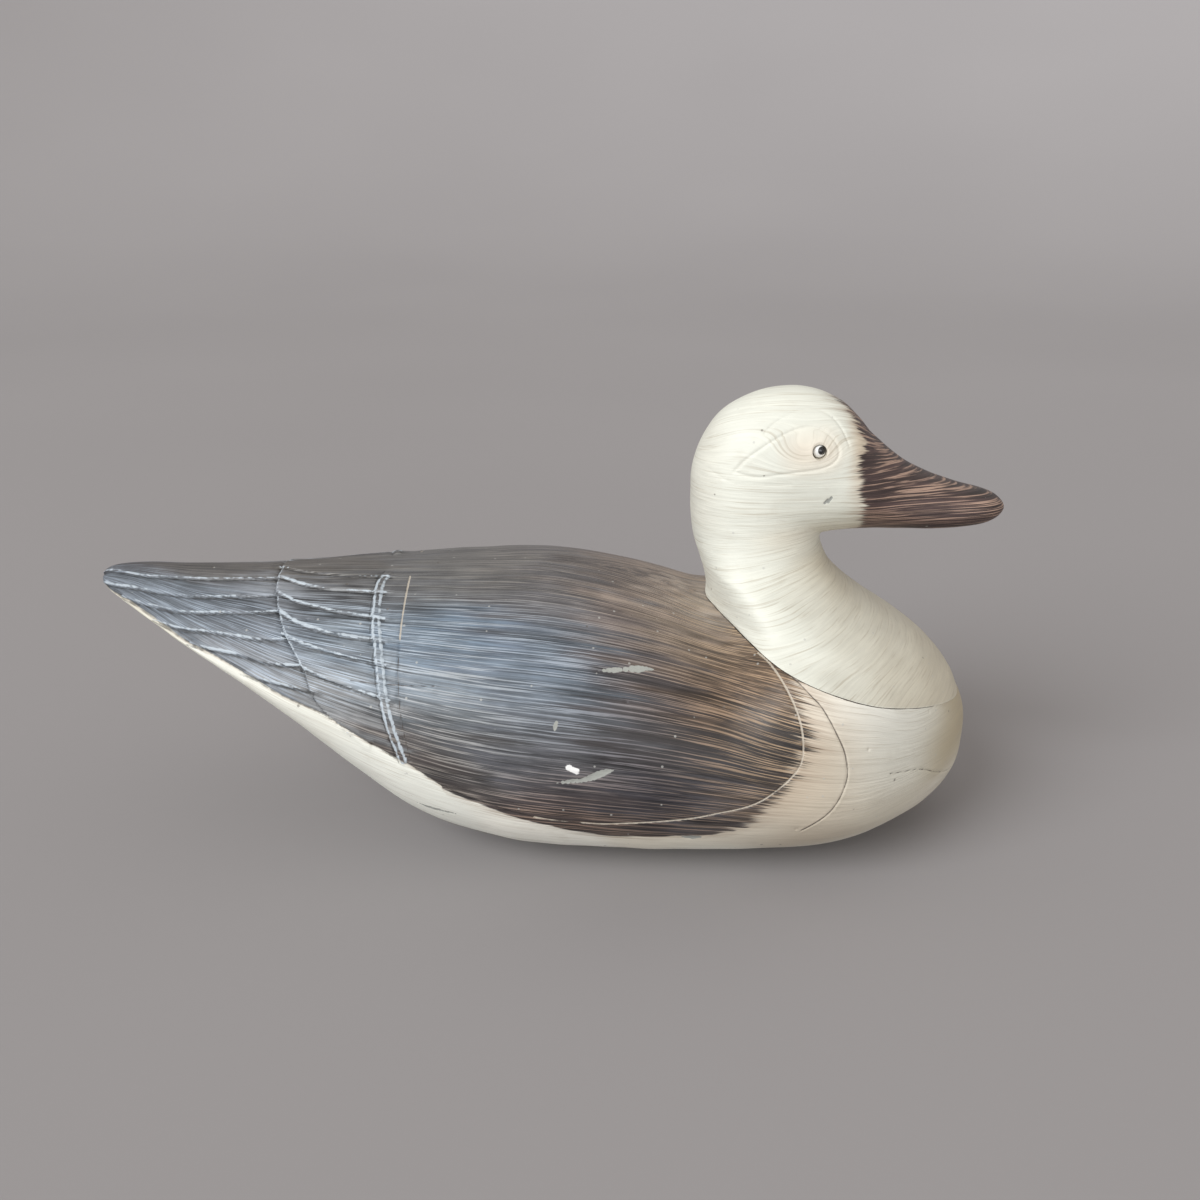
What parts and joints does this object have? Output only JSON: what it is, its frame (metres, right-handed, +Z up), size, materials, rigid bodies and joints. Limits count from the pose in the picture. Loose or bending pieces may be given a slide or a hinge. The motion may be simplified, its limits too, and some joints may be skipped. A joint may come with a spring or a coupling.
{
  "type": "waterfowl decoy",
  "caption": "Hollow carved wooden waterfowl decoy with a separate neck block, glass eyes, inlaid ballast and a swinging ring for the anchor line.",
  "frame": {"origin": "on the resting surface, under the middle of the bounding box", "axes": "+X towards the bill, +Y towards the bird's left side, +Z up"},
  "size_m": [0.36, 0.156, 0.1792],
  "materials": {
    "back_paint": "brushed satin paint on carved wood",
    "belly_paint": "brushed satin paint on carved wood",
    "head_paint": "brushed satin paint on carved wood",
    "eye_glass": "polished",
    "dowel_wood": "bare",
    "steel": "zinc plated",
    "lead": "dull cast lead",
    "brass": "tarnished"
  },
  "bodies": {
    "decoy": {"body_upper": "back_paint", "body_lower": "belly_paint", "head_neck": "head_paint", "eye_right": "eye_glass", "eye_left": "eye_glass", "eye_wire_right": "steel", "eye_wire_left": "steel", "body_dowel_1": "dowel_wood", "body_dowel_2": "dowel_wood", "body_dowel_3": "dowel_wood", "body_dowel_4": "dowel_wood", "neck_dowel": "dowel_wood", "neck_washer": "steel", "neck_lag_screw": "steel", "ballast_weight": "lead", "ballast_screw_rear": "brass", "ballast_screw_front": "brass", "line_tie_eye": "brass"},
    "line_ring": {"line_tie_ring": "brass"}
  },
  "joints": [
    {"name": "line_ring_swing", "type": "hinge", "parent": "decoy", "child": "line_ring", "pos_m": [0.143, 0, 0.0047], "axis": [0, 1, 0], "range_deg": [-50, 155]}
  ]
}
